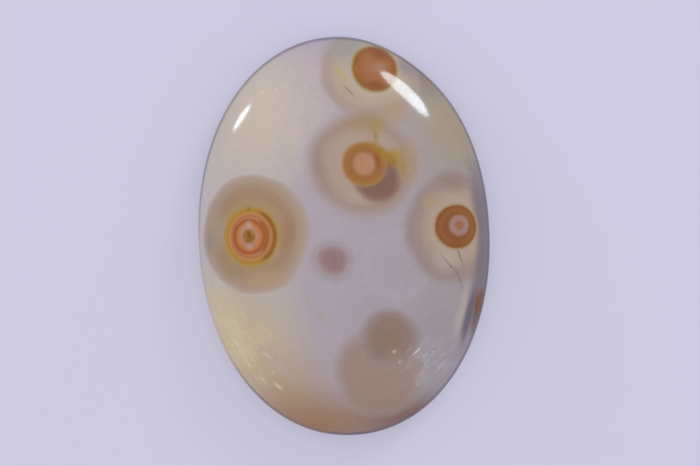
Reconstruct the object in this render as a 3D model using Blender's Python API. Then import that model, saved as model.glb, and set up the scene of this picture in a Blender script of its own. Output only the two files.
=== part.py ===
"""Oval cabochon of ocean jasper: one polished stone with a domed face, a low girdle and a flat back.

The stone lies on its back. Its long axis runs along Y, the dome rises along +Z, and the origin
is in the middle of the flat back.
"""

import math

import bmesh
import bpy
import numpy as np

MM = 0.001

# Driving sizes of the stone
LENGTH = 30.0 * MM
WIDTH = 21.9 * MM
THICKNESS = 6.0 * MM
GIRDLE_TOP = 1.3 * MM  # where the upright wall ends and the dome begins
BACK_BEVEL = 0.35 * MM  # the narrow bevel that keeps the back edge from chipping

# The hand-ground oval: a slightly full ellipse with one flat on its upper right shoulder
OVAL_POWER = 2.083
FLAT_ANGLE = math.radians(59.4)
FLAT_SPREAD = math.radians(20.3)
FLAT_DEPTH = 0.28 * MM

# In section the dome is an ellipse, which this power makes a little leaner towards the girdle
DOME_POWER = 1.25

SEGMENTS = 120  # points round the oval
DOME_RINGS = 20  # rings from the girdle up to the crown

STONE_COLOUR = (0.44, 0.37, 0.37, 1.0)
STONE_ROUGHNESS = 0.06
STONE_METALLIC = 0.0
STONE_IOR = 1.54
CREASE = math.radians(30)


def clear_scene():
    for obj in list(bpy.data.objects):
        bpy.data.objects.remove(obj, do_unlink=True)


def girdle_outline():
    """Points round the stone at its widest, centred on the origin and fitted to its two sizes."""
    angles = np.linspace(0.0, math.tau, SEGMENTS, endpoint=False)
    cosine, sine = np.cos(angles), np.sin(angles)
    fullness = (abs(cosine) ** OVAL_POWER + abs(sine) ** OVAL_POWER) ** (-1 / OVAL_POWER)
    points = np.column_stack((WIDTH / 2 * cosine * fullness, LENGTH / 2 * sine * fullness))
    from_flat = (angles - FLAT_ANGLE + math.pi) % math.tau - math.pi
    ground_off = FLAT_DEPTH * np.exp(-((from_flat / FLAT_SPREAD) ** 2))
    points = moved_inwards(points, ground_off)
    low, high = points.min(axis=0), points.max(axis=0)
    return (points - (low + high) / 2) * (WIDTH, LENGTH) / (high - low)


def moved_inwards(points, distance):
    """Each point moved towards the stone's axis."""
    radius = np.linalg.norm(points, axis=1)
    return points * (1 - distance / radius)[:, np.newaxis]


def dome_section():
    """Pairs of share of the way out to the girdle and height, from the girdle up to just below the crown."""
    for step in range(DOME_RINGS - 1, 0, -1):
        slope_angle = math.pi / 2 * step / DOME_RINGS
        rise = math.cos(slope_angle) ** DOME_POWER
        yield math.sin(slope_angle), GIRDLE_TOP + (THICKNESS - GIRDLE_TOP) * rise


def add_ring(mesh, points, height):
    """A closed row of vertices round the stone at one height."""
    return [mesh.verts.new((x, y, height)) for x, y in points]


def join_rings(mesh, lower, upper):
    """A strip of four-sided faces between two rings."""
    for step in range(SEGMENTS):
        after = (step + 1) % SEGMENTS
        mesh.faces.new((lower[step], lower[after], upper[after], upper[step]))


def close_with_fan(mesh, rim, height):
    """Triangles from a rim to one point on the stone's axis."""
    middle = mesh.verts.new((0.0, 0.0, height))
    for step in range(SEGMENTS):
        mesh.faces.new((rim[step], rim[(step + 1) % SEGMENTS], middle))


def stone_mesh():
    """The whole stone as one closed surface, from the back's rim up to the crown."""
    outline = girdle_outline()
    mesh = bmesh.new()
    rings = [
        add_ring(mesh, moved_inwards(outline, BACK_BEVEL), 0.0),
        add_ring(mesh, outline, BACK_BEVEL),
        add_ring(mesh, outline, GIRDLE_TOP),
    ]
    rings += [add_ring(mesh, outline * share, height) for share, height in dome_section()]
    for lower, upper in zip(rings, rings[1:]):
        join_rings(mesh, lower, upper)
    close_with_fan(mesh, rings[0], 0.0)
    close_with_fan(mesh, rings[-1], THICKNESS)
    bmesh.ops.recalc_face_normals(mesh, faces=mesh.faces)
    data = bpy.data.meshes.new("cabochon")
    mesh.to_mesh(data)
    mesh.free()
    data.shade_smooth()
    data.set_sharp_from_angle(angle=CREASE)
    return data


def stone_material():
    """Milky grey chalcedony with a polish."""
    material = bpy.data.materials.new("polished_chalcedony")
    material.use_nodes = True
    shader = material.node_tree.nodes["Principled BSDF"]
    shader.inputs["Base Color"].default_value = STONE_COLOUR
    shader.inputs["Roughness"].default_value = STONE_ROUGHNESS
    shader.inputs["Metallic"].default_value = STONE_METALLIC
    shader.inputs["IOR"].default_value = STONE_IOR
    return material


def main():
    clear_scene()
    cabochon = bpy.data.objects.new("cabochon", stone_mesh())
    cabochon.data.materials.append(stone_material())
    bpy.context.scene.collection.objects.link(cabochon)


main()
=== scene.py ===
# %% [markdown]
# # An ocean jasper cabochon
#
# The object is one polished stone: an oval of milky chalcedony, 30 mm long, with a domed face and
# round "orbs" in it. The shape is simple and exact, and the beauty is in the colour inside. So this
# lesson builds a fine mesh from a rule with Geometry Nodes, and then spends most of its cells on one
# material that grows the orbs, clouds and cracks through the stone in three dimensions.

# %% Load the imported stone
import math

import bpy
from mathutils import Matrix, Quaternion, Vector
from mathutils.bvhtree import BVHTree


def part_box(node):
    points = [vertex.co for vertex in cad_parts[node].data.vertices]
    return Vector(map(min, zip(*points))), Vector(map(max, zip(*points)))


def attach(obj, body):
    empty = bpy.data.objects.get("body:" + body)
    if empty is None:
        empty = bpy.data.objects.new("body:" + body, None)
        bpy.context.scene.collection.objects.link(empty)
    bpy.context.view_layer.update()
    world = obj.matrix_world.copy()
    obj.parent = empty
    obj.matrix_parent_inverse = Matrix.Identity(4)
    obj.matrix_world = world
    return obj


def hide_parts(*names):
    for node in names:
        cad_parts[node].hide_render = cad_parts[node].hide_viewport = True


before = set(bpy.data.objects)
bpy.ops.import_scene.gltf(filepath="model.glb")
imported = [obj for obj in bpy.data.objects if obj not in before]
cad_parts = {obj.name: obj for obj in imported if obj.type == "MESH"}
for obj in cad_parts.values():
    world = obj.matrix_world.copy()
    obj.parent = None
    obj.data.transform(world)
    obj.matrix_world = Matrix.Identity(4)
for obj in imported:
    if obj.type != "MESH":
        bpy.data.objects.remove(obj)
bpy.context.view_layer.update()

MM = 0.001
lowest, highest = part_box("cabochon")
WIDTH, LENGTH, THICKNESS = (highest[axis] - lowest[axis] for axis in range(3))
print(f"stone {LENGTH / MM:.1f} x {WIDTH / MM:.1f} x {THICKNESS / MM:.1f} mm")

# %% [markdown]
# ## A short way of writing node trees
#
# Both the shape and the colour are node trees with a lot of arithmetic in them. Adding each Math node
# by hand hides the idea, so a small class wraps a socket and lets Python's own signs add the nodes.
# Another class holds a tree and has one method for every other kind of node.


# %% Sockets that can be added and multiplied
class Value:
    """One socket of a node tree. Arithmetic on it adds Math nodes."""

    def __init__(self, graph, socket):
        self.graph = graph
        self.socket = socket

    def __add__(self, other):
        return self.graph.math("ADD", self, other)

    def __radd__(self, other):
        return self.graph.math("ADD", other, self)

    def __sub__(self, other):
        return self.graph.math("SUBTRACT", self, other)

    def __rsub__(self, other):
        return self.graph.math("SUBTRACT", other, self)

    def __mul__(self, other):
        return self.graph.math("MULTIPLY", self, other)

    def __rmul__(self, other):
        return self.graph.math("MULTIPLY", other, self)

    def __truediv__(self, other):
        return self.graph.math("DIVIDE", self, other)

    def __rtruediv__(self, other):
        return self.graph.math("DIVIDE", other, self)

    def __pow__(self, other):
        return self.graph.math("POWER", self, other)

    def __rpow__(self, other):
        return self.graph.math("POWER", other, self)


class Graph:
    """A node tree, and the ways of adding to it."""

    def __init__(self, tree):
        self.tree = tree

    def node(self, kind, settings=None, inputs=None, output=0):
        """Adds a node, makes its settings, fills its sockets and returns one of its outputs."""
        node = self.tree.nodes.new(kind)
        for name, value in (settings or {}).items():
            if name == "stops":
                set_stops(node.color_ramp, value)
            else:
                setattr(node, name, value)
        for name, value in (inputs or {}).items():
            self.fill(node.inputs[name], value)
        return Value(self, node.outputs[output])

    def fill(self, socket, value):
        """Links a value of this tree to a socket, or sets the socket to a plain number or colour."""
        if isinstance(value, Value):
            self.tree.links.new(value.socket, socket)
        else:
            socket.default_value = value

    def math(self, operation, *operands):
        """A Math node on numbers."""
        return self.node("ShaderNodeMath", {"operation": operation}, dict(enumerate(operands)))

    def vector(self, operation, *operands, output=0):
        """A Vector Math node on vectors."""
        inputs = dict(enumerate(operands))
        return self.node("ShaderNodeVectorMath", {"operation": operation}, inputs, output)

    def scaled(self, vector, factor):
        """A vector or a colour times a number."""
        inputs = {0: vector, "Scale": factor}
        return self.node("ShaderNodeVectorMath", {"operation": "SCALE"}, inputs)

    def between(self, value, start, end, smooth=False):
        """How far a value has come from start to end, kept within 0 and 1."""
        settings = {"interpolation_type": "SMOOTHSTEP" if smooth else "LINEAR"}
        inputs = {"Value": value, "From Min": start, "From Max": end}
        return self.node("ShaderNodeMapRange", settings, inputs)

    def parts(self, vector):
        """The x, y and z of a vector."""
        node = self.node("ShaderNodeSeparateXYZ", inputs={0: vector}).socket.node
        return [Value(self, socket) for socket in node.outputs]

    def joined(self, *parts):
        """The vector that has this x, y and z."""
        return self.node("ShaderNodeCombineXYZ", inputs=dict(enumerate(parts)))


def set_stops(color_ramp, stops):
    """Gives a colour ramp its stops, each a position and a colour, with an eased step between them."""
    color_ramp.interpolation = "EASE"
    while len(color_ramp.elements) > 1:
        color_ramp.elements.remove(color_ramp.elements[-1])
    color_ramp.elements[0].position = stops[0][0]
    color_ramp.elements[0].color = stops[0][1]
    for position, color in stops[1:]:
        color_ramp.elements.new(position).color = color


# %% [markdown]
# ## The shape of the stone
#
# A cutter grinds a slab to an oval, turns the top into a dome on a wheel, and takes the sharp edge off
# the back with a narrow bevel. The oval here is a slightly full ellipse with one flat, where the wheel
# took a little too much off the right shoulder. It could be modelled by hand with a subdivided
# surface, but the outline and the section are both formulas, so a Geometry Nodes tree bends a plain
# grid into the stone: one side of the grid runs round the oval, the other runs along the section from
# the middle of the back, over the bevel and the wall, up to the crown.

# %% The sizes that the tree takes
ROUND_THE_OVAL = 400
ALONG_THE_SECTION = 150
SIZES = {
    "Length": LENGTH,
    "Width": WIDTH,
    "Thickness": THICKNESS,
    "Girdle Top": 1.3 * MM,
    "Back Bevel": 0.35 * MM,
    "Dome Power": 1.25,
    "Oval Power": 2.083,
    "Flat Angle": math.radians(59.4),
    "Flat Spread": math.radians(20.3),
    "Flat Depth": 0.28 * MM,
}
# Shares of the section at which the back, the bevel and the wall end
BACK_END, BEVEL_END, WALL_END = 0.12, 0.14, 0.20
SEAM_GAP = 1e-6
print(len(SIZES), "named sizes, and a grid of", ROUND_THE_OVAL, "by", ALONG_THE_SECTION, "cells")


def add_inputs(tree, values):
    """Gives a tree an input socket for each named size and returns their identifiers."""
    identifiers = {}
    for name, value in values.items():
        socket = tree.interface.new_socket(name=name, in_out="INPUT", socket_type="NodeSocketFloat")
        socket.default_value = value
        identifiers[name] = socket.identifier
    return identifiers


# %% The outline and the section as fields
def oval_outline(graph, size, turn):
    """x, y and radius of the girdle at an angle round the stone, with the ground flat taken off."""
    cosine = graph.math("COSINE", turn)
    sine = graph.math("SINE", turn)
    power = size["Oval Power"]
    fullness = graph.math("ABSOLUTE", cosine) ** power + graph.math("ABSOLUTE", sine) ** power
    fullness = fullness ** (-1 / power)
    x = size["Width"] / 2 * cosine * fullness
    y = size["Length"] / 2 * sine * fullness
    radius = graph.math("SQRT", x * x + y * y)
    from_flat = graph.math("WRAP", turn - size["Flat Angle"], math.pi, -math.pi) / size["Flat Spread"]
    ground_off = size["Flat Depth"] * graph.math("EXPONENT", 0 - from_flat * from_flat)
    kept = 1 - ground_off / radius
    return x * kept, y * kept, radius


def stone_section(graph, size, along):
    """Share of the way out, distance in from the edge, and height, along the section."""
    back = graph.between(along, 0.0, BACK_END)
    bevel = graph.between(along, BACK_END, BEVEL_END)
    wall = graph.between(along, BEVEL_END, WALL_END)
    dome = graph.between(along, WALL_END, 1.0)
    slope = (1 - dome) * (math.pi / 2)
    share = back * graph.math("SINE", slope)
    inset = size["Back Bevel"] * (1 - bevel)
    rise = graph.math("COSINE", slope) ** size["Dome Power"]
    height = size["Back Bevel"] * bevel + (size["Girdle Top"] - size["Back Bevel"]) * wall
    height = height + (size["Thickness"] - size["Girdle Top"]) * rise
    return share, inset, height


# %% The tree that bends a grid into the stone
def fitted_to_box(graph, mesh, position, size):
    """The mesh moved and stretched a hair, so that its box is centred and has the stone's exact sizes."""
    low = graph.node("GeometryNodeBoundBox", inputs={0: mesh}, output="Min")
    high = Value(graph, low.socket.node.outputs["Max"])
    low_x, low_y, _ = graph.parts(low)
    high_x, high_y, _ = graph.parts(high)
    x, y, z = graph.parts(position)
    x = (x - (low_x + high_x) / 2) * size["Width"] / (high_x - low_x)
    y = (y - (low_y + high_y) / 2) * size["Length"] / (high_y - low_y)
    inputs = {"Geometry": mesh, "Position": graph.joined(x, y, z)}
    return graph.node("GeometryNodeSetPosition", inputs=inputs)


def stone_tree(material):
    """The tree that makes the stone, and the identifiers of its inputs."""
    tree = bpy.data.node_groups.new("polished_oval", "GeometryNodeTree")
    graph = Graph(tree)
    identifiers = add_inputs(tree, SIZES)
    tree.interface.new_socket(name="Stone", in_out="OUTPUT", socket_type="NodeSocketGeometry")
    entry = tree.nodes.new("NodeGroupInput")
    size = {name: Value(graph, entry.outputs[name]) for name in SIZES}
    position = graph.node("GeometryNodeInputPosition")
    across, up, _ = graph.parts(position)
    outline_x, outline_y, radius = oval_outline(graph, size, (across + 0.5) * math.tau)
    share, inset, height = stone_section(graph, size, up + 0.5)
    reach = share * (1 - inset / radius)
    place = graph.joined(outline_x * reach, outline_y * reach, height)
    counts = {"Vertices X": ROUND_THE_OVAL + 1, "Vertices Y": ALONG_THE_SECTION + 1}
    grid = graph.node("GeometryNodeMeshGrid", inputs={"Size X": 1.0, "Size Y": 1.0, **counts})
    bent = graph.node("GeometryNodeSetPosition", inputs={"Geometry": grid, "Position": place})
    fitted = fitted_to_box(graph, bent, position, size)
    closed = graph.node("GeometryNodeMergeByDistance", inputs={"Geometry": fitted, "Distance": SEAM_GAP})
    smooth = graph.node("GeometryNodeSetShadeSmooth", inputs={"Geometry": closed})
    real = graph.node("GeometryNodeRealizeInstances", inputs={"Geometry": smooth})
    finished = graph.node("GeometryNodeSetMaterial", inputs={"Geometry": real, "Material": material})
    leave = tree.nodes.new("NodeGroupOutput")
    tree.links.new(finished.socket, leave.inputs["Stone"])
    return tree, identifiers


# %% [markdown]
# ## From the tree to a plain mesh
#
# The tree runs once, as a modifier on an empty mesh. A Bevel modifier then rounds the two edges of the
# back, as the polishing pad does. The rounding could be part of the section's formula too, but the
# modifier finds the edges by their angle and needs only a width. What comes out is copied as a plain
# mesh, so that nothing live is left on the piece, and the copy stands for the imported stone.

# %% Run the tree
EDGE_ROUNDING = 0.10 * MM
EDGE_ANGLE = math.radians(25)
EDGE_STEPS = 3
stone_finish = bpy.data.materials.new("ocean_jasper")


def made_by_tree(name, material):
    """The mesh that the stone's tree makes, with the edges of its back rounded."""
    tree, identifiers = stone_tree(material)
    blank = bpy.data.objects.new("blank_slab", bpy.data.meshes.new("blank_slab"))
    bpy.context.scene.collection.objects.link(blank)
    cut = blank.modifiers.new("cut", "NODES")
    cut.node_group = tree
    for size_name, identifier in identifiers.items():
        cut[identifier] = SIZES[size_name]
    rounding = blank.modifiers.new("rounding", "BEVEL")
    rounding.width = EDGE_ROUNDING
    rounding.segments = EDGE_STEPS
    rounding.limit_method = "ANGLE"
    rounding.angle_limit = EDGE_ANGLE
    evaluated = blank.evaluated_get(bpy.context.evaluated_depsgraph_get())
    mesh = bpy.data.meshes.new_from_object(evaluated)
    bpy.data.objects.remove(blank, do_unlink=True)
    mesh.name = name
    return mesh


stone = bpy.data.objects.new("polished_stone", made_by_tree("polished_stone", stone_finish))
bpy.context.scene.collection.objects.link(stone)
stone.data.calc_loop_triangles()
print(len(stone.data.loop_triangles), "triangles in the polished stone")

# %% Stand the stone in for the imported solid
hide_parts("cabochon")
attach(stone, "root")
print(stone.name, "stands for the packed cabochon")

# %% [markdown]
# ## Finding places on the dome
#
# Every mark in the stone sits at a place that is seen from above, in millimetres from the middle. Its
# height could be worked out again from the dome's formula, but the finished mesh already has it, with
# the flat and the slope. So a plumb line is dropped onto the mesh. The slope later tells where a light
# has to hang to be mirrored at a place.

# %% A plumb line
surface = BVHTree.FromPolygons(
    [vertex.co for vertex in stone.data.vertices],
    [polygon.vertices for polygon in stone.data.polygons],
)
PLUMB_START = 0.1
DOWN = Vector((0, 0, -1))


def plumb(x, y):
    """The point and the outward normal of the dome above a place in millimetres."""
    hit, normal, _, _ = surface.ray_cast(Vector((x * MM, y * MM, PLUMB_START)), DOWN)
    return hit, normal


def on_dome(x, y):
    """The place on the dome, in millimetres."""
    hit, _ = plumb(x, y)
    return (x, y, hit.z / MM)


print("crown at", [round(part, 2) for part in on_dome(0, 0)])

# %% [markdown]
# ## Colour as it looks, and colour as pigment
#
# A tone is noted as it looks on a screen, from 0 to 255. The shader needs linear colour, without what
# the studio adds: its light scales every tone, and the polish lays a thin veil of reflected light over
# it. Each tone could be tried until it looks right, but there are hundreds. So both are taken off here
# once, and every later cell names tones as the eye sees them.

# %% Tones
LIGHT = 0.87  # how much of a pigment the studio's light gives back
VEIL = 0.03  # how much the polish adds to it


def linear(*tone_parts):
    """The same tone in linear light, each part from 0 to 1."""
    shares = [part / 255 for part in tone_parts]
    return [share / 12.92 if share <= 0.04045 else ((share + 0.055) / 1.055) ** 2.4 for share in shares]


def tone(red, green, blue):
    """The pigment that looks like this tone in the studio's light."""
    return tuple(max(0.0, (seen - VEIL) / LIGHT) for seen in linear(red, green, blue))


print("a mid grey needs the pigment", [round(part, 3) for part in tone(128, 128, 128)])

# %% [markdown]
# ## Marks in three dimensions
#
# An orb grows as a ball, ring by ring, round a seed in the silica. The cutter slices through it, so the
# dome shows the ball's section. Painting discs on a texture would smear them down the wall. Instead the
# material measures how far each point of the surface is from the ball's centre, in Object coordinates,
# and looks the distance up in a ramp. The rings then bend over the dome as they do in the real stone.
#
# A long mark is a ball too, in axes that are squeezed along it. Many marks share one such set of axes,
# because the renderer keeps every vector of a material at hand at once and has room for few.

# %% The place, and noise on it
graph = Graph(None)


def start_finish(material):
    """Points the graph at a material's nodes and returns its shader and the place in millimetres."""
    material.use_nodes = True
    graph.tree = material.node_tree
    shader = graph.tree.nodes["Principled BSDF"]
    coordinates = graph.node("ShaderNodeTexCoord", output="Object")
    return shader, graph.scaled(coordinates, 1 / MM)


def noise(place, size, detail=2.0, output="Fac"):
    """Smooth noise whose blots are about this many millimetres across."""
    inputs = {"Vector": place, "Scale": 1 / size, "Detail": detail}
    return graph.node("ShaderNodeTexNoise", inputs=inputs, output=output)


def wandered(place, reach, size, detail):
    """The place pushed about by noise, so that nothing drawn with it is a perfect circle."""
    push = graph.vector("SUBTRACT", noise(place, size, detail, "Color"), (0.5, 0.5, 0.5))
    return graph.vector("ADD", place, graph.scaled(push, 2 * reach))


# %% Axes to measure in
class Axes:
    """The place in turned and squeezed axes, in which an ellipsoid of one shape is a ball."""

    def __init__(self, place, squeeze=(1, 1, 1), turn=0.0):
        self.squeeze = squeeze
        self.turned_back = Matrix.Rotation(-math.radians(turn), 3, "Z")
        inputs = {"Vector": place, "Rotation": (0, 0, math.radians(turn)), "Scale": squeeze}
        self.place = graph.node("ShaderNodeMapping", {"vector_type": "TEXTURE"}, inputs)

    def away_from(self, centre):
        """How far each point is from a centre, in millimetres along the axes that aren't squeezed."""
        turned = self.turned_back @ Vector(centre)
        squeezed = [part / factor for part, factor in zip(turned, self.squeeze)]
        return graph.vector("DISTANCE", self.place, squeezed, output="Value")

    def ball(self, centre, radius, core=0.0):
        """1 in the core of a ball, a share of its radius, fading to 0 at its skin."""
        return graph.between(self.away_from(centre), radius, radius * core, smooth=True)


def streaks(axes, detail, start, end):
    """Noise drawn out along squeezed axes, cut so that only its crests are left."""
    return graph.between(noise(axes.place, 1.0, detail), start, end, smooth=True)


# %% Ways to lay colour on colour
def lay(below, cover, above):
    """One colour laid over another, as thick as its cover."""
    below, above = (part if isinstance(part, Value) else (*part, 1.0) for part in (below, above))
    return graph.node("ShaderNodeMix", {"data_type": "RGBA"}, {0: cover, 6: below, 7: above}, 2)


def cloud(below, axes, centre, radius, colour, cover, core=0.0):
    """A soft-edged patch of colour in the stone. Two coordinates of a centre put it on the dome."""
    centre = on_dome(*centre) if len(centre) == 2 else centre
    return lay(below, axes.ball(centre, radius, core) * cover, colour)


def clouds(below, patches, core=0.0):
    """Several patches, each given by its axes, centre, radius, colour and cover."""
    for axes, centre, radius, colour, cover in patches:
        below = cloud(below, axes, centre, radius, colour, cover, core)
    return below


def specks(below, colour, patches, core=0.0):
    """Several patches of one colour, each given by its axes, centre, radius and cover."""
    return clouds(below, [(*patch[:3], colour, patch[3]) for patch in patches], core)


def shades(value, stops):
    """A colour that changes with a value, and its cover: each stop is a value, a tone and a cover."""
    first, last = stops[0][0], stops[-1][0]
    marks = [((at - first) / (last - first), (*colour, cover)) for at, colour, cover in stops]
    share = graph.between(value, first, last)
    tint = graph.node("ShaderNodeValToRGB", {"stops": marks}, {"Fac": share}, "Color")
    return tint, Value(graph, tint.socket.node.outputs["Alpha"])


def rings(below, axes, centre, stops, within=1.0):
    """Shells of colour round a centre: each stop is a radius, a tone and how well it covers."""
    centre = on_dome(*centre) if len(centre) == 2 else centre
    tint, cover = shades(axes.away_from(centre), stops)
    return lay(below, cover * within, tint)


def report(finished):
    """Says what is in the material by now, and how many nodes it has."""
    print(f"{finished}: {len(graph.tree.nodes)} nodes so far")


# %% The axes of this stone's marks
# Milk drifts far and eyes only waver. In the flat axes height hardly counts, so a ball is a column.
shader, place = start_finish(stone_finish)
drifting = wandered(place, reach=0.35, size=4.0, detail=1.0)
wavering = wandered(place, reach=0.05, size=0.9, detail=3.0)
milk = Axes(drifting)
tall_milk = Axes(drifting, (1, 2, 1.5))
wide_milk = Axes(drifting, (2.2, 1, 1.5))
flat = Axes(drifting, (1, 1, 1000))
fine = Axes(wavering)
tall = Axes(wavering, (1, 3, 1))
wide = Axes(wavering, (2.4, 1, 1))
top_eye = Axes(wavering, (1, 1.125, 1.52))
right_eye = Axes(wavering, (1.18, 1, 1))
left_rim = Axes(wavering, (1, 3.4, 4), turn=28)
sloping = Axes(wavering, (1, 12, 10), turn=38)
slanting = Axes(wavering, (1, 3.4, 4), turn=48)
rising = Axes(wavering, (1, 5, 4), turn=-47)
right_rim = Axes(drifting, (1, 6.5, 4), turn=-14)
_, _, height = graph.parts(place)
report("axes")

# %% [markdown]
# ## The milky body
#
# Between the orbs the chalcedony is milky and never one colour: pale on the left, lavender grey in the
# middle and greyer towards the right. A ramp along the stone's short axis gives that. Part of it is the
# stone's tone and part is painted light, lighter on the left and darker to the right as the light fell.
# Over it lie soft clouds with wandering edges: cream on the upper left, straw yellow low on the left,
# tan at the foot, partly painted light from the red rock under the stone, and olive on the upper right.
# Noise alone would put such tones just anywhere, so each cloud has its place, and noise of several
# sizes only frays and mottles it. The pale strokes, crumbs and flecks low on the left are painted
# reflections: the mirrored sparkle of crystals near the stone.

# %% Tones across the body
HAZE = 0.25
across, _, _ = graph.parts(drifting)
# Painted light along with the stone's tone: the ramp is lighter on the left and darker to the right.
colour, _ = shades(across, [
    (-10.9, tone(190, 182, 181), 1), (-6.5, tone(187, 177, 175), 1), (-2.0, tone(172, 160, 171), 1),
    (3.0, tone(165, 154, 165), 1), (7.0, tone(157, 148, 152), 1), (10.9, tone(134, 125, 131), 1),
])
colour = lay(colour, noise(place, 6.0) * HAZE, tone(178, 164, 167))
report("body")

# %% Clouds in the body
colour = clouds(colour, [
    (milk, (-6.0, 9.5, 3.5), 8.0, tone(200, 185, 170), 0.85),
    (tall_milk, (-10.4, 5.2, 2.5), 3.0, tone(194, 187, 184), 0.7),
    (milk, (-7.6, -7.8, 3.0), 6.8, tone(195, 176, 146), 0.95),
    (left_rim, (-9.0, -6.6, 3.0), 2.4, tone(204, 190, 154), 0.8),
    # These three tan clouds at the foot are partly painted light: the glow of the red rock under the
    # stone.
    (milk, (-4.9, -11.4, 3.0), 5.2, tone(179, 154, 126), 0.85),
    (wide_milk, (-2.4, -14.0, 2.0), 4.2, tone(158, 122, 94), 1.0),
    (wide_milk, (4.8, -14.0, 2.0), 3.2, tone(131, 102, 90), 1.0),
    (milk, (9.0, 8.2, 2.5), 6.6, tone(161, 145, 121), 1.0),
    (milk, (6.6, 12.3, 2.0), 3.8, tone(143, 125, 108), 1.0),
    (milk, (6.6, -8.6, 4.0), 5.1, tone(151, 142, 149), 0.75),
])
report("clouds")

# %% Mottles, and painted glints low on the left
MOTTLE_COVER, GLINT_STROKE_COVER, GLINT_CRUMB_COVER = 0.40, 0.48, 0.40
mottles = graph.between(noise(wavering, 1.3, detail=3.0), 0.45, 0.65, smooth=True)
mottled = milk.ball((-5.5, 8.5, 3.5), 7.5)
colour = lay(colour, mottles * mottled * MOTTLE_COVER, tone(204, 182, 166))
# Painted reflection: pale strokes and crumbs low on the left, the mirrored sparkle of crystals near the
# stone.
glint_strokes = streaks(Axes(wavering, (0.4, 1.8, 1), turn=33), detail=3.0, start=0.46, end=0.66)
stroke_glint_area = milk.ball((-8.2, -7.8, 2.5), 5.2)
colour = lay(colour, glint_strokes * stroke_glint_area * GLINT_STROKE_COVER, tone(212, 198, 162))
glint_crumbs = streaks(Axes(wavering, (0.22, 0.6, 0.6), turn=33), detail=4.0, start=0.58, end=0.72)
crumb_glint_area = left_rim.ball(on_dome(-7.9, -8.2), 1.7, core=0.3)
colour = lay(colour, glint_crumbs * crumb_glint_area * GLINT_CRUMB_COVER, tone(222, 210, 182))
colour = cloud(colour, slanting, (-5.6, -9.2), 0.8, tone(184, 168, 164), 0.6)
colour = specks(colour, tone(168, 158, 138), [
    (left_rim, (-2.8, -4.85), 0.30, 0.45), (left_rim, (-1.95, -5.8), 0.30, 0.45),
])
report("mottles and strokes")

# %% Pale flecks, most of them painted glints
# The flecks low on the left are painted glints of that sparkle; the two high on the left are whitish
# streaks of the stone.
colour = specks(colour, tone(222, 211, 184), [
    (tall, (-5.63, 10.95), 0.13, 0.6), (tall, (-4.51, 11.12), 0.10, 0.6),
    (tall, (-9.50, -4.90), 0.14, 0.5), (tall, (-5.73, -9.90), 0.12, 0.4),
    (left_rim, (-8.41, -7.60), 0.14, 0.8), (left_rim, (-8.13, -8.25), 0.11, 0.5),
    (left_rim, (-7.55, -9.25), 0.15, 0.5), (slanting, (-6.09, -8.62), 0.18, 0.5),
    (slanting, (-6.55, -10.45), 0.15, 0.5), (slanting, (-5.40, -10.98), 0.20, 0.65),
])
report("flecks")

# %% [markdown]
# ## What shows through from below
#
# Chalcedony lets light in, so orbs whose seeds lie near the back show on the dome as blurred discs.
# A translucent stone with solid orbs inside it would blur them by itself, but it is slow to render, and
# an exported model loses it. So the discs are measured in axes that are flat, as seen from above, and
# have slow ramps. On the back the same orbs come out sharp, as balls round seeds at the same places.

# %% Deep discs
FOOT_ORB, SHOULDER_ORB, DOT_ORB = (2.2, -10.3, 0), (3.12, -7.75, 0), (-0.97, -1.74, 0)
FAINT_ORB, TWIN_ORB = (3.7, -2.3, 0), (2.60, 4.20, 0)
colour = rings(colour, flat, FOOT_ORB, [
    (0, tone(156, 132, 119), 0.95), (2.5, tone(155, 132, 120), 0.9), (2.95, tone(157, 137, 127), 0.75),
    (3.25, tone(159, 142, 135), 0.45), (3.65, tone(160, 148, 145), 0.0),
])
colour = rings(colour, flat, SHOULDER_ORB, [
    (0, tone(141, 117, 105), 0.95), (1.25, tone(141, 118, 107), 0.95), (1.75, tone(145, 126, 120), 0.9),
    (2.05, tone(148, 132, 127), 0.55), (2.4, tone(152, 142, 142), 0.0),
])
colour = cloud(colour, milk, (3.3, -9.3), 1.3, tone(158, 138, 131), 0.5)
colour = rings(colour, flat, DOT_ORB, [
    (0, tone(146, 113, 116), 1.0), (0.6, tone(147, 117, 118), 0.95), (0.9, tone(152, 123, 123), 0.85),
    (1.2, tone(157, 141, 145), 0.65), (1.9, tone(163, 152, 158), 0.0),
])
colour = rings(colour, flat, FAINT_ORB, [
    (0, tone(168, 158, 170), 0.0), (1.7, tone(170, 160, 172), 0.2), (2.45, tone(174, 164, 177), 0.35),
    (3.0, tone(168, 158, 168), 0.0),
])
report("deep discs")

# %% [markdown]
# ## Halos
#
# Each eye sits in a halo of browner or creamier chalcedony, which ends in a soft darker ring. The ring
# is where the growing ball met its neighbours, so the halos cut each other off and are never quite
# alike. A disc of one tone would look pasted on. One ramp for each halo gives it the ring, and a few
# clouds make its tone uneven.

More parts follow.
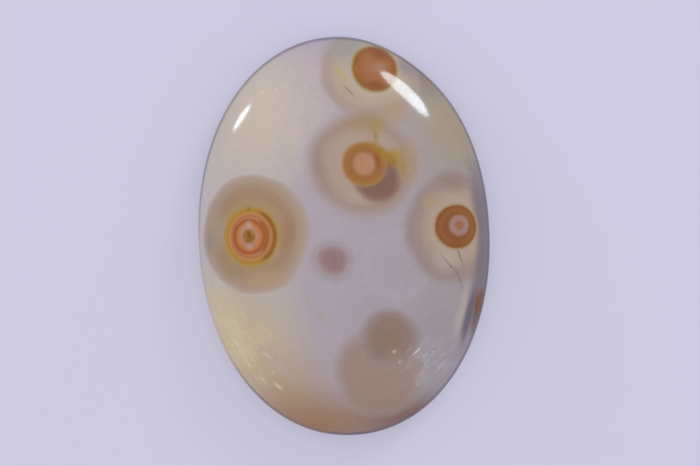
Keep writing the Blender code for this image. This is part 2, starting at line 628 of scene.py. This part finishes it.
# %% Halos of the top and middle orbs
colour = rings(colour, milk, (2.6, 12.15), [
    (0, tone(170, 156, 144), 0.95), (2.1, tone(178, 161, 144), 0.95), (2.7, tone(175, 156, 139), 0.95),
    (3.3, tone(168, 147, 133), 0.95), (3.65, tone(164, 145, 136), 0.9), (3.85, tone(164, 148, 144), 0.6),
    (4.1, tone(170, 158, 157), 0.0),
])
colour = cloud(colour, milk, (0.9, 14.2), 2.8, tone(153, 147, 142), 0.95)
colour = rings(colour, milk, (1.61, 5.27), [
    (0, tone(171, 149, 136), 0.95), (2.3, tone(170, 148, 134), 0.95), (2.8, tone(165, 142, 129), 0.95),
    (3.2, tone(158, 136, 126), 0.95), (3.55, tone(159, 139, 132), 0.9), (3.85, tone(164, 146, 142), 0.75),
    (4.2, tone(168, 153, 154), 0.4), (4.6, tone(170, 157, 164), 0.0),
])
colour = clouds(colour, [
    (wide_milk, (1.9, 8.4), 1.35, tone(161, 133, 103), 0.75),
    (milk, (4.25, 8.85), 1.5, tone(171, 143, 116), 0.8),
    (milk, (5.35, 12.35), 1.35, tone(145, 132, 134), 0.95),
    (tall_milk, (5.1, 5.4), 1.3, tone(165, 138, 107), 0.75),
    (tall_milk, (-1.5, 5.3), 0.9, tone(150, 128, 120), 0.4),
    (wide_milk, (0.9, 2.8), 0.9, tone(172, 153, 146), 0.7),
])
report("upper halos")

# %% Halos of the left and right orbs
colour = rings(colour, milk, (-6.78, 0.42), [
    (0, tone(168, 138, 104), 1.0), (2.4, tone(168, 138, 106), 1.0), (2.8, tone(162, 132, 105), 1.0),
    (3.2, tone(162, 133, 110), 1.0), (3.65, tone(166, 142, 122), 1.0), (4.05, tone(169, 147, 132), 0.95),
    (4.32, tone(173, 152, 141), 0.8), (4.60, tone(178, 159, 154), 0.0),
])
colour = rings(colour, milk, (8.45, 0.24), [
    (0, tone(168, 148, 135), 0.95), (2.2, tone(173, 151, 135), 0.95), (2.8, tone(165, 144, 130), 0.95),
    (3.3, tone(154, 135, 127), 0.95), (3.75, tone(150, 132, 127), 0.95), (4.1, tone(152, 136, 134), 0.8),
    (4.4, tone(156, 144, 147), 0.4), (4.7, tone(160, 150, 155), 0.0),
])
colour = clouds(colour, [
    (tall_milk, (-4.15, 0.5), 1.0, tone(154, 119, 95), 0.6),
    (tall_milk, (-9.3, 0.8), 1.2, tone(168, 153, 136), 0.75),
    (tall_milk, (-9.95, 0.1), 0.6, tone(148, 137, 134), 0.75),
    (milk, (-8.5, -2.0), 1.2, tone(160, 136, 104), 0.6),
    (wide_milk, (-6.1, -3.0), 1.3, tone(180, 150, 120), 0.8),
    (wide_milk, (8.3, 3.7), 1.1, tone(143, 122, 110), 0.7),
    (milk, (6.3, 2.3), 1.0, tone(172, 145, 112), 0.6),
    (milk, (7.6, -1.9), 1.7, tone(172, 159, 152), 0.75),
])
report("side halos")

# %% [markdown]
# ## The dark flank and the cracks
#
# The right side has the stone's character marks: a rusty sliver and violet streaks along the rim, and
# hairline cracks that run down from the right eye. Over that rim lies a dark violet flank of painted
# shade. The cracks could be cut into the mesh, but on the real stone they lie under the polish and
# can't be felt, so they are colour as well. The flank's painted shade is a soft band that grows with the
# way out from the middle. The streaks and the cracks are thin ellipsoids laid end to end, and the sliver
# is one broader ellipsoid that the girdle cuts off.

# %% The dark flank: painted shade along the right rim
FLANK_START, FLANK_FULL = 0.875, 0.94  # shares of the way from the middle to the girdle
FLANK_LEFT, FLANK_RIGHT = 2.0, 8.5  # how far to the right it begins and is whole
FLANK_TRACE, FLANK_DARK = 0.06, 0.88
HATCHING_COVER = 0.22
out_x, out_y, _ = graph.parts(graph.vector("MULTIPLY", drifting, (2 * MM / WIDTH, 2 * MM / LENGTH, 0)))
way_out = (out_x * out_x + out_y * out_y) ** 0.5
# Painted shade: a violet-grey band along the right rim, darkest at its middle.
flank = graph.between(way_out, FLANK_START, FLANK_FULL, smooth=True)
flank = flank * graph.between(across, FLANK_LEFT, FLANK_RIGHT, smooth=True)
darkest = tall_milk.ball((10.6, -1.0, 2.0), 3.6, core=0.45)
colour = lay(colour, flank * (FLANK_TRACE + FLANK_DARK * darkest), tone(120, 112, 115))
colour = clouds(colour, [
    (right_rim, (8.45, -6.0), 0.46, tone(176, 161, 157), 0.75),
    (right_rim, (9.04, -6.4), 0.49, tone(102, 94, 108), 0.95),
    (right_rim, (9.70, -6.2), 0.40, tone(110, 92, 88), 0.9),
], core=0.25)
colour = cloud(colour, tall_milk, (10.0, -5.4), 0.74, tone(122, 80, 18), 0.95, core=0.35)
hatching = streaks(Axes(place, (0.10, 2.2, 1), turn=-12), detail=2.0, start=0.50, end=0.66)
hatched = right_rim.ball(on_dome(9.9, -4.5), 0.7) + right_rim.ball(on_dome(10.5, 3.0), 0.5)
colour = lay(colour, hatching * hatched * HATCHING_COVER, tone(176, 162, 156))
report("dark flank")

# %% Cracks
steep = Axes(wavering, (1, 12, 10), turn=18)
colour = specks(colour, tone(114, 95, 86), [
    (steep, (8.45, -1.58), 0.14, 0.65), (sloping, (7.72, -2.45), 0.14, 0.42),
    (steep, (8.40, -3.45), 0.14, 0.42),
], core=0.1)
colour = cloud(colour, fine, (7.84, -2.60), 0.18, tone(108, 93, 86), 0.55)
report("cracks")

# %% [markdown]
# ## The eyes
#
# In the middle of each orb is an eye, stained by iron. No two are alike: the left one is a target of
# thin rings round a speck of moss green, the middle one has a pink core and a shadowy twin behind it,
# the top one is a plain rusty disc, and the right one is a rusty ring with a mauve pupil off its centre.
# A Voronoi texture makes rings round seeds at one stroke, but all of them alike, so each eye has stops
# of its own. Each is drawn from the outside in, because a later mark covers an earlier one, and small
# patches break up rings that would look machined if they kept one tone all the way round.

# %% The left eye
colour = rings(colour, fine, (-6.91, 0.25), [
    (0, tone(164, 118, 44), 1.0), (1.85, tone(164, 120, 46), 1.0), (2.0, tone(170, 131, 54), 1.0),
    (2.12, tone(172, 137, 66), 0.95), (2.24, tone(166, 136, 84), 0.65), (2.42, tone(170, 142, 104), 0.0),
])
colour = rings(colour, fine, (-6.93, 0.25), [
    (0, tone(178, 120, 84), 1.0), (1.42, tone(179, 122, 90), 1.0), (1.54, tone(170, 110, 74), 1.0),
    (1.64, tone(182, 122, 76), 1.0), (1.78, tone(190, 134, 72), 1.0), (1.86, tone(180, 128, 74), 0.7),
    (1.96, tone(168, 124, 52), 0.0),
])
colour = rings(colour, fine, (-6.95, 0.25), [
    (1.70, tone(150, 102, 44), 0.0), (1.86, tone(147, 98, 18), 1.0), (2.04, tone(143, 96, 10), 1.0),
    (2.22, tone(154, 114, 40), 0.0),
], within=fine.ball(on_dome(-4.9, 0.3), 2.5, core=0.7))
colour = rings(colour, fine, (-7.03, 0.25), [
    (1.1, tone(160, 98, 50), 0.0), (1.28, tone(156, 94, 42), 1.0), (1.5, tone(150, 92, 44), 1.0),
    (1.68, tone(164, 108, 80), 0.0),
], within=fine.ball(on_dome(-4.9, 0.3), 2.0, core=0.7))
colour = rings(colour, fine, (-7.03, 0.25), [
    (0, tone(178, 130, 112), 1.0), (0.64, tone(181, 129, 106), 1.0), (0.84, tone(184, 124, 84), 1.0),
    (1.00, tone(185, 115, 64), 1.0), (1.13, tone(172, 94, 44), 1.0), (1.23, tone(158, 86, 40), 1.0),
    (1.34, tone(168, 100, 62), 0.7), (1.46, tone(178, 114, 80), 0.0),
])
colour = clouds(colour, [
    (fine, (-7.0, 1.13), 0.48, tone(186, 160, 152), 0.75),
    (fine, (-7.0, -0.56), 0.40, tone(184, 150, 150), 0.7),
    (fine, (-7.45, 0.85), 0.36, tone(180, 142, 140), 0.5),
    (fine, (-6.95, 2.28), 0.28, tone(132, 108, 44), 0.7),
])
colour = rings(colour, fine, (-7.03, 0.28), [
    (0, tone(140, 92, 4), 1.0), (0.32, tone(148, 100, 8), 1.0), (0.44, tone(152, 108, 34), 1.0),
    (0.58, tone(164, 116, 84), 0.0),
])
colour = specks(colour, tone(170, 128, 22), [
    (fine, (-7.30, 0.18), 0.20, 0.7), (fine, (-6.80, 0.44), 0.20, 0.7),
])
colour = cloud(colour, left_rim, (-7.0, 0.36), 0.11, tone(108, 70, 4), 0.8, core=0.3)
report("left eye")

# %% The moss between the middle eye and its twin
colour = rings(colour, flat, TWIN_ORB, [
    (0, tone(160, 126, 58), 0.0), (1.3, tone(148, 112, 46), 0.95), (1.65, tone(154, 122, 58), 0.85),
    (2.1, tone(163, 138, 92), 0.5), (2.8, tone(168, 146, 120), 0.0),
], within=flat.ball((4.2, 6.4, 0), 2.8, core=0.35))
colour = cloud(colour, fine, (2.75, 8.1), 1.0, tone(162, 136, 80), 0.8)
colour = cloud(colour, tall, (4.55, 4.9), 0.48, tone(156, 126, 62), 0.7)
report("moss")

# %% The middle eye and its twin
colour = rings(colour, flat, TWIN_ORB, [
    (0, tone(127, 94, 84), 1.0), (1.32, tone(129, 97, 88), 1.0), (1.60, tone(137, 107, 97), 0.9),
    (1.82, tone(147, 122, 110), 0.5), (2.05, tone(154, 134, 124), 0.0),
])
colour = rings(colour, fine, (1.74, 5.25), [
    (0, tone(178, 131, 103), 1.0), (0.62, tone(174, 128, 101), 1.0), (0.78, tone(168, 121, 92), 1.0),
    (0.92, tone(157, 105, 70), 1.0), (1.1, tone(152, 102, 60), 1.0), (1.3, tone(155, 106, 59), 1.0),
    (1.48, tone(157, 111, 60), 1.0), (1.58, tone(162, 120, 70), 0.9), (1.68, tone(164, 126, 84), 0.5),
    (1.85, tone(166, 138, 108), 0.0),
])
colour = clouds(colour, [
    (tall, (2.75, 5.5), 0.42, tone(138, 78, 40), 0.8),
    (tall, (0.42, 5.1), 0.26, tone(156, 108, 40), 0.6),
    (tall, (1.62, 5.2), 0.08, tone(158, 88, 78), 0.5),
    (fine, (1.50, 5.6), 0.10, tone(158, 88, 78), 0.5),
    (fine, (3.15, 4.6), 0.60, tone(140, 104, 86), 0.5),
    (fine, (4.15, 5.85), 0.85, tone(162, 132, 62), 0.8),
    (fine, (3.85, 5.30), 0.62, tone(142, 106, 44), 0.8),
    (slanting, (3.15, 6.0), 0.60, tone(154, 118, 34), 0.95),
    (tall, (2.68, 7.2), 0.34, tone(152, 124, 56), 0.75),
    (milk, (3.55, 5.75), 0.75, tone(154, 120, 44), 0.75),
    (sloping, (3.55, 6.75), 0.06, tone(128, 108, 70), 0.35),
])
report("middle eye")

# %% The top eye
colour = cloud(colour, left_rim, (0.25, 12.1), 0.42, tone(176, 162, 104), 0.7)
colour = cloud(colour, sloping, (0.86, 10.75), 0.08, tone(122, 102, 54), 0.65, core=0.2)
colour = rings(colour, top_eye, (2.86, 12.41), [
    (0, tone(161, 113, 80), 1.0), (0.5, tone(158, 107, 74), 1.0), (1.0, tone(155, 101, 67), 1.0),
    (1.3, tone(149, 95, 58), 1.0), (1.5, tone(143, 90, 52), 1.0), (1.6, tone(140, 98, 44), 0.95),
    (1.70, tone(148, 122, 52), 0.75), (1.9, tone(166, 150, 106), 0.0),
])
colour = clouds(colour, [
    (fine, (3.3, 13.5), 1.10, tone(132, 82, 46), 0.9),
    (wide, (2.8, 11.15), 0.50, tone(132, 78, 50), 0.8),
    (fine, (3.25, 12.5), 0.75, tone(158, 117, 94), 0.8),
    (tall, (1.5, 12.4), 0.30, tone(164, 106, 58), 0.6),
    (fine, (3.60, 11.3), 0.42, tone(162, 113, 98), 0.6),
])
report("top eye")

# %% The right eye
colour = rings(colour, right_eye, (8.44, 0.32), [
    (0, tone(140, 90, 52), 1.0), (0.95, tone(132, 83, 43), 1.0), (1.12, tone(138, 87, 50), 1.0),
    (1.22, tone(144, 91, 53), 1.0), (1.34, tone(140, 86, 47), 1.0), (1.48, tone(134, 84, 44), 1.0),
    (1.58, tone(138, 94, 54), 1.0), (1.67, tone(166, 136, 106), 0.9), (1.9, tone(168, 146, 128), 0.0),
])
colour = cloud(colour, wide, (8.5, -0.95), 0.50, tone(122, 80, 54), 0.7)
colour = rings(colour, right_eye, (8.60, 0.42), [
    (0, tone(149, 99, 70), 1.0), (0.24, tone(149, 101, 76), 1.0), (0.42, tone(155, 120, 110), 1.0),
    (0.66, tone(157, 121, 113), 1.0), (0.78, tone(150, 106, 84), 0.9), (0.92, tone(136, 84, 46), 0.0),
])
report("right eye")

# %% [markdown]
# ## Painted glitter, specks and the girdle's line of painted shade
#
# Low on the right lies a pale patch of painted reflection, the mirrored sparkle of crystals near the
# stone. Grains of mesh would stick out of the polish, so it is noise drawn out into strands, within a
# soft column, with a few bright specks of painted glint that are placed one by one.
#
# Round the girdle, where the dome is steepest, the real stone shows a thin dark line, because the light
# inside it bends away from the eye. A clear shader could bend the light, but an exported model keeps
# only colour. So the line is painted shade just over the girdle, which fades down the wall and darkens
# it.

# %% Painted glitter and specks
GLITTER_REFLECTION_HAZE, GLITTER_REFLECTION_STRANDS = 0.12, 0.55
# Painted reflection: pale strands of mirrored sparkle in a soft column low on the right.
reflected_glitter = streaks(Axes(wavering, (0.28, 0.9, 1), turn=-45), detail=5.0, start=0.44, end=0.66)
glitter_reflection_patch = flat.ball((6.1, -9.5, 0), 3.0)
colour = lay(colour, glitter_reflection_patch * (GLITTER_REFLECTION_HAZE + GLITTER_REFLECTION_STRANDS * reflected_glitter), tone(180, 171, 183))
# Painted glints: bright specks in the same patch.
colour = specks(colour, tone(216, 202, 192), [
    (fine, (3.34, -8.74), 0.24, 0.55), (fine, (3.70, -9.55), 0.19, 0.45),
    (fine, (5.57, -9.19), 0.14, 0.4), (fine, (6.23, -8.93), 0.14, 0.4),
    (fine, (5.0, -11.3), 0.26, 0.25), (rising, (5.02, -8.8), 0.14, 0.8),
])
colour = cloud(colour, rising, (5.42, -9.82), 0.08, tone(122, 112, 118), 0.5)
report("frost and specks")

# %% The girdle's line of painted shade, and grain over all
GIRDLE = SIZES["Girdle Top"] / MM
LINE_END, LINE_FULL = GIRDLE + 0.74, GIRDLE + 0.34
LINE_GONE = -1.0  # a height under the back, so that the line fades down the wall and never ends
LINE_STRENGTH, LINE_WEAKENING, LINE_CHANGE = 0.46, 0.38, 0.25
GRAIN = 0.14
# Painted shade: dark over the girdle and fading down the wall, weaker low on the left.
line = graph.between(height, LINE_END, LINE_FULL, smooth=True) * graph.between(height, LINE_GONE, GIRDLE)
weak = tall_milk.ball((-10.4, -3.6, 1.5), 5.0, core=0.35)
strength = LINE_STRENGTH - LINE_WEAKENING * weak
strength = strength + LINE_CHANGE * graph.between(noise(place, 9.0), 0.35, 0.65)
colour = lay(colour, line * strength, tone(84, 78, 88))
colour = graph.scaled(colour, 1 - GRAIN / 2 + GRAIN * noise(place, 0.3, detail=4.0))
report("girdle line and grain")

# %% [markdown]
# ## The back
#
# The back was ground flat and only brushed on the pad, so it is paler and duller than the dome. Here
# the deep orbs come to the surface, each at its own size, with one more that is too deep to show on
# the dome. Laid over each other, as on the dome, one would cut into the next. So the nearest orb rules
# at each point, and two that touch meet in a line, as they do where they grew against each other.

# %% Orbs on the back
HIDDEN_ORB = (-5.6, 7.6, 0)
BACK_ORBS = {
    FOOT_ORB: 1.0, SHOULDER_ORB: 0.72, DOT_ORB: 0.5, FAINT_ORB: 0.8, TWIN_ORB: 0.62, HIDDEN_ORB: 0.9,
}
ORBS_GONE, ORBS_WHOLE = 1.1, 0.2  # heights on the wall
BACK_ENDS, BACK_WHOLE = 0.05, 0.01
PALE_HAZE, PALE_CHANGE = 0.12, 0.16
FAR_AWAY = 9.0
nearest = FAR_AWAY
for centre, size in BACK_ORBS.items():
    nearest = graph.math("MINIMUM", fine.away_from(centre) / size, nearest)
tint, cover = shades(nearest, [
    (0, tone(176, 128, 104), 1.0), (0.3, tone(172, 120, 92), 1.0), (0.42, tone(140, 84, 46), 1.0),
    (1.1, tone(158, 104, 60), 1.0), (1.25, tone(150, 122, 60), 0.95), (1.35, tone(176, 158, 140), 0.9),
    (2.6, tone(172, 152, 140), 0.85), (3.1, tone(154, 134, 130), 0.85), (3.5, tone(166, 154, 158), 0.0),
])
colour = lay(colour, cover * graph.between(height, ORBS_GONE, ORBS_WHOLE, smooth=True), tint)
on_back = graph.between(height, BACK_ENDS, BACK_WHOLE)
pale = PALE_HAZE + PALE_CHANGE * noise(place, 0.5, detail=4.0)
colour = lay(colour, on_back * pale, tone(206, 198, 194))
graph.fill(shader.inputs["Base Color"], colour)
report("back")

# %% [markdown]
# ## Polish
#
# The dome has a mirror polish, which still rolls a little, as hand work does. The wall keeps the fine
# lines of the grinding wheel that ran round it, and the back has the scratches of the lap. All of that
# is far too fine for the mesh, so roughness and a bump map carry it. The bump's height is in
# millimetres, as everything in this material.

# %% Roughness and bump
DOME_ROUGHNESS, WALL_ROUGHNESS, BACK_ROUGHNESS = 0.08, 0.24, 0.42
UNEVEN_POLISH, GLITTER_PATCH_ROUGHNESS = 0.03, 0.06
ROLL_HEIGHT, WHEEL_LINE_HEIGHT, SCRATCH_HEIGHT = 0.001, 0.004, 0.006
STONE_IOR = 1.54
EDGE_BLEND = 0.10
on_wall = graph.between(height, GIRDLE + EDGE_BLEND, GIRDLE - EDGE_BLEND, smooth=True) - on_back
roughness = DOME_ROUGHNESS + UNEVEN_POLISH * noise(place, 2.2, detail=4.0)
roughness = roughness + GLITTER_PATCH_ROUGHNESS * glitter_reflection_patch * reflected_glitter
roughness = roughness + (WALL_ROUGHNESS - DOME_ROUGHNESS) * on_wall
roughness = roughness + (BACK_ROUGHNESS - DOME_ROUGHNESS) * on_back
graph.fill(shader.inputs["Roughness"], roughness)
rolling = noise(place, 2.5, detail=1.0) * ROLL_HEIGHT
round_the_wall = graph.vector("MULTIPLY", place, (0.5, 0.5, 14.0))
wheel_lines = on_wall * noise(round_the_wall, 1.0, detail=3.0) * WHEEL_LINE_HEIGHT
along_the_lap = Axes(place, (0.05, 3.0, 1), turn=24).place
lap_scratches = on_back * noise(along_the_lap, 1.0, detail=3.0) * SCRATCH_HEIGHT
relief = rolling + wheel_lines + lap_scratches
relief_inputs = {"Strength": 1.0, "Distance": MM, "Height": relief}
bump = graph.node("ShaderNodeBump", inputs=relief_inputs, output="Normal")
graph.fill(shader.inputs["Normal"], bump)
shader.inputs["IOR"].default_value = STONE_IOR
print(len(graph.tree.nodes), "nodes in the stone's material")

# %% [markdown]
# ## Camera
#
# The stone lies on its flat back, and the camera hangs over it, so that the dome faces the lens
# squarely. A short lens close by would swell the middle of the dome and hide the girdle, so a long
# lens hangs high up. The camera is rolled a little, because the stone leans to the left at its top.

# %% Hang the camera
FRAME_WIDTH_PX, STONE_LENGTH_PX = 700, 398.7
LENS_MM, SENSOR_MM = 150.0, 36.0
ROLL = math.radians(2.56)
NEAREST_SEEN = 0.01
OFF_CENTRE_PX = (6.0, 2.9)  # how far the frame's middle is to the right of the stone's and above it
metres_per_px = LENGTH / STONE_LENGTH_PX
camera_height = SIZES["Girdle Top"] + LENS_MM * metres_per_px * FRAME_WIDTH_PX / SENSOR_MM
camera = bpy.data.objects.new("camera", bpy.data.cameras.new("camera"))
camera.data.lens = LENS_MM
camera.data.sensor_width = SENSOR_MM
camera.data.clip_start = NEAREST_SEEN
camera.rotation_euler = (0, 0, -ROLL)
sideways = Matrix.Rotation(-ROLL, 3, "Z") @ Vector((*OFF_CENTRE_PX, 0)) * metres_per_px
camera.location = Vector((0, 0, camera_height)) + sideways
bpy.context.scene.collection.objects.link(camera)
bpy.context.scene.camera = camera
print(f"camera {camera_height / MM:.0f} mm over the floor")

# %% [markdown]
# ## Floor, daylight and windows
#
# A plain pale floor carries the stone. It glows a little from inside, as a light table does, so that the
# stone's shadow stays faint. Even daylight comes from all round. The two bright lenses on the
# shoulders are windows mirrored in the polish, so each is a small soft light, and a third one fills out
# the foot of the right lens. They could be pushed about until the mirror images lie right. It is surer
# to follow a line from the camera as it bounces off the dome at that place, and to hang the light on it.

# %% Floor
FLOOR_SIZE, FLOOR_GAP = 2.0, 0.00002
GLOW = 0.5
PAINT_ROUGHNESS = 0.9
floor_mesh = bpy.data.meshes.new("floor")
half = FLOOR_SIZE / 2
corners = [(x, y, -FLOOR_GAP) for x, y in ((-half, -half), (half, -half), (half, half), (-half, half))]
floor_mesh.from_pydata(corners, [], [(0, 1, 2, 3)])
floor = bpy.data.objects.new("floor", floor_mesh)
bpy.context.scene.collection.objects.link(floor)
floor_paint = bpy.data.materials.new("pale_floor")
floor.data.materials.append(floor_paint)
floor_shader, floor_place = start_finish(floor_paint)
unevenness = noise(floor_place, 30.0)
pigment = lay(tone(209, 206, 227), unevenness, tone(212, 209, 230))
graph.fill(floor_shader.inputs["Base Color"], graph.scaled(pigment, 1 - GLOW))
floor_shader.inputs["Emission Color"].default_value = (*linear(205, 202, 224), 1.0)
floor_shader.inputs["Emission Strength"].default_value = GLOW
floor_shader.inputs["Roughness"].default_value = PAINT_ROUGHNESS
floor_shader.inputs["Specular IOR Level"].default_value = 0.0
print(f"floor {FLOOR_SIZE:.0f} m wide, {FLOOR_GAP / MM:.2f} mm under the stone")

# %% Daylight
DAYLIGHT = 0.78
world = bpy.data.worlds.new("daylight")
world.use_nodes = True
sky = world.node_tree.nodes["Background"]
sky.inputs["Color"].default_value = (1, 1, 1, 1)
sky.inputs["Strength"].default_value = DAYLIGHT
bpy.context.scene.world = world
bpy.context.scene.view_settings.view_transform = "Standard"
print("daylight of strength", DAYLIGHT)


# %% Windows
WINDOW_DISTANCE = 0.6
WINDOW_COLOUR = (0.80, 0.91, 1.0)


def hang_window(name, mirrored_at, size, radiance, turn=0.0):
    """A soft oval light that the camera sees mirrored at a place on the dome."""
    point, normal = plumb(*mirrored_at)
    to_camera = (camera.location - point).normalized()
    outwards = 2 * normal.dot(to_camera) * normal - to_camera
    along = Vector((0, 0, 1)).cross(outwards).normalized()
    along.rotate(Quaternion(outwards, math.radians(turn)))
    upwards = outwards.cross(along)
    data = bpy.data.lights.new(name, "AREA")
    data.shape = "ELLIPSE"
    data.size, data.size_y = size
    area = math.pi / 4 * data.size * data.size_y
    data.energy = radiance * math.pi * area
    data.color = WINDOW_COLOUR
    light = bpy.data.objects.new(name, data)
    turned = Matrix((along, upwards, outwards)).transposed().to_4x4()
    light.matrix_world = Matrix.Translation(point + outwards * WINDOW_DISTANCE) @ turned
    bpy.context.scene.collection.objects.link(light)
    print(f"{name}: {math.degrees(outwards.angle(Vector((0, 0, 1)))):.0f} degrees from overhead")


hang_window("right_window", mirrored_at=(5.1, 10.55), size=(0.24, 0.125), radiance=11.6)
hang_window("right_window_foot", mirrored_at=(5.95, 9.68), size=(0.09, 0.115), radiance=2.4)
hang_window("left_window", mirrored_at=(-7.25, 9.2), size=(0.13, 0.06), radiance=14.5, turn=-34)
